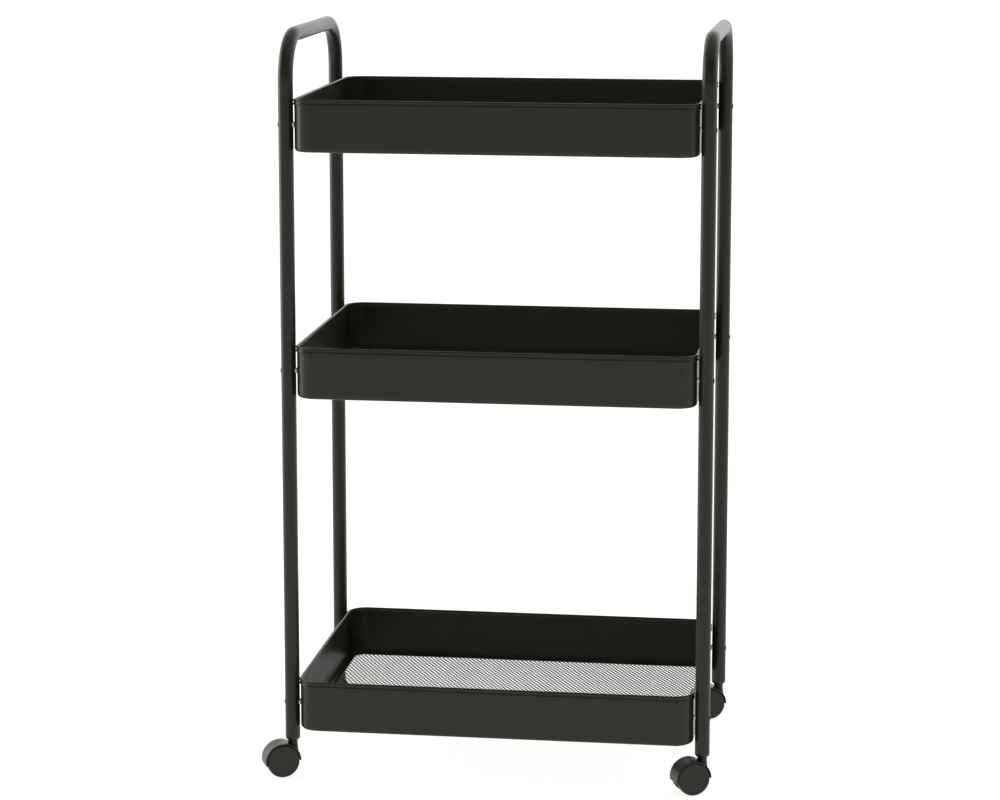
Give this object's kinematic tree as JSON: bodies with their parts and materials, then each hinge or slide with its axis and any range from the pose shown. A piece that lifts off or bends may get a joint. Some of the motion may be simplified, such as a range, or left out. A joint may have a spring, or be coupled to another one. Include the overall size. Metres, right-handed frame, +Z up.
{
  "type": "rolling utility cart",
  "caption": "Rolling utility cart: rimmed mesh-floored trays between two bent-tube side frames with handle tops, on swivelling twin-wheel casters.",
  "frame": {"origin": "on the floor, midway between the four posts", "axes": "+X along the trays' length (to the right, seen from the front), +Y to the back, +Z up"},
  "size_m": [0.5101, 0.3319, 0.8423],
  "materials": {
    "frame_powder_coat": "satin, fine texture",
    "tray_powder_coat": "satin, fine texture",
    "mesh_powder_coat": "satin",
    "screw_black": "black zinc, satin",
    "spacer_plastic": "natural nylon, semi-matte",
    "insert_plastic": "matte",
    "zinc_steel": "zinc plated",
    "housing_plastic": "smooth, semi-matte",
    "wheel_plastic": "smooth, semi-matte"
  },
  "bodies": {
    "cart": {"left_side_frame": "frame_powder_coat", "right_side_frame": "frame_powder_coat", "bottom_tray": "tray_powder_coat", "bottom_mesh_floor": "mesh_powder_coat", "bottom_tray_screws": "screw_black", "bottom_tray_spacers": "spacer_plastic", "bottom_tray_nuts": "screw_black", "middle_tray": "tray_powder_coat", "middle_mesh_floor": "mesh_powder_coat", "middle_tray_screws": "screw_black", "middle_tray_spacers": "spacer_plastic", "middle_tray_nuts": "screw_black", "top_tray": "tray_powder_coat", "top_mesh_floor": "mesh_powder_coat", "top_tray_screws": "screw_black", "top_tray_spacers": "spacer_plastic", "top_tray_nuts": "screw_black", "front_left_tube_insert": "insert_plastic", "front_left_caster_stem": "screw_black", "front_left_retaining_ring": "zinc_steel", "front_right_tube_insert": "insert_plastic", "front_right_caster_stem": "screw_black", "front_right_retaining_ring": "zinc_steel", "rear_left_tube_insert": "insert_plastic", "rear_left_caster_stem": "screw_black", "rear_left_retaining_ring": "zinc_steel", "rear_right_tube_insert": "insert_plastic", "rear_right_caster_stem": "screw_black", "rear_right_retaining_ring": "zinc_steel"},
    "front_left_caster": {"front_left_caster_housing": "housing_plastic"},
    "front_left_wheels": {"front_left_caster_axle": "zinc_steel", "front_left_caster_left_wheel": "wheel_plastic", "front_left_caster_right_wheel": "wheel_plastic"},
    "front_right_caster": {"front_right_caster_housing": "housing_plastic"},
    "front_right_wheels": {"front_right_caster_axle": "zinc_steel", "front_right_caster_left_wheel": "wheel_plastic", "front_right_caster_right_wheel": "wheel_plastic"},
    "rear_left_caster": {"rear_left_caster_housing": "housing_plastic"},
    "rear_left_wheels": {"rear_left_caster_axle": "zinc_steel", "rear_left_caster_left_wheel": "wheel_plastic", "rear_left_caster_right_wheel": "wheel_plastic"},
    "rear_right_caster": {"rear_right_caster_housing": "housing_plastic"},
    "rear_right_wheels": {"rear_right_caster_axle": "zinc_steel", "rear_right_caster_left_wheel": "wheel_plastic", "rear_right_caster_right_wheel": "wheel_plastic"}
  },
  "joints": [
    {"name": "front_left_swivel", "type": "hinge", "parent": "cart", "child": "front_left_caster", "pos_m": [-0.2316, -0.1428, 0.03], "axis": [0, 0, 1], "continuous": true},
    {"name": "front_left_wheel_spin", "type": "hinge", "parent": "front_left_caster", "child": "front_left_wheels", "pos_m": [-0.24383, -0.1485, 0.0185], "axis": [-0.4226, 0.9063, 0], "continuous": true},
    {"name": "front_right_swivel", "type": "hinge", "parent": "cart", "child": "front_right_caster", "pos_m": [0.2316, -0.1428, 0.03], "axis": [0, 0, 1], "continuous": true},
    {"name": "front_right_wheel_spin", "type": "hinge", "parent": "front_right_caster", "child": "front_right_wheels", "pos_m": [0.21947, -0.14872, 0.0185], "axis": [-0.4384, 0.8988, 0], "continuous": true},
    {"name": "rear_left_swivel", "type": "hinge", "parent": "cart", "child": "rear_left_caster", "pos_m": [-0.2316, 0.1428, 0.03], "axis": [0, 0, 1], "continuous": true},
    {"name": "rear_left_wheel_spin", "type": "hinge", "parent": "rear_left_caster", "child": "rear_left_wheels", "pos_m": [-0.24412, 0.13774, 0.0185], "axis": [-0.3746, 0.9272, 0], "continuous": true},
    {"name": "rear_right_swivel", "type": "hinge", "parent": "cart", "child": "rear_right_caster", "pos_m": [0.2316, 0.1428, 0.03], "axis": [0, 0, 1], "continuous": true},
    {"name": "rear_right_wheel_spin", "type": "hinge", "parent": "rear_right_caster", "child": "rear_right_wheels", "pos_m": [0.21891, 0.13818, 0.0185], "axis": [-0.342, 0.9397, 0], "continuous": true}
  ]
}
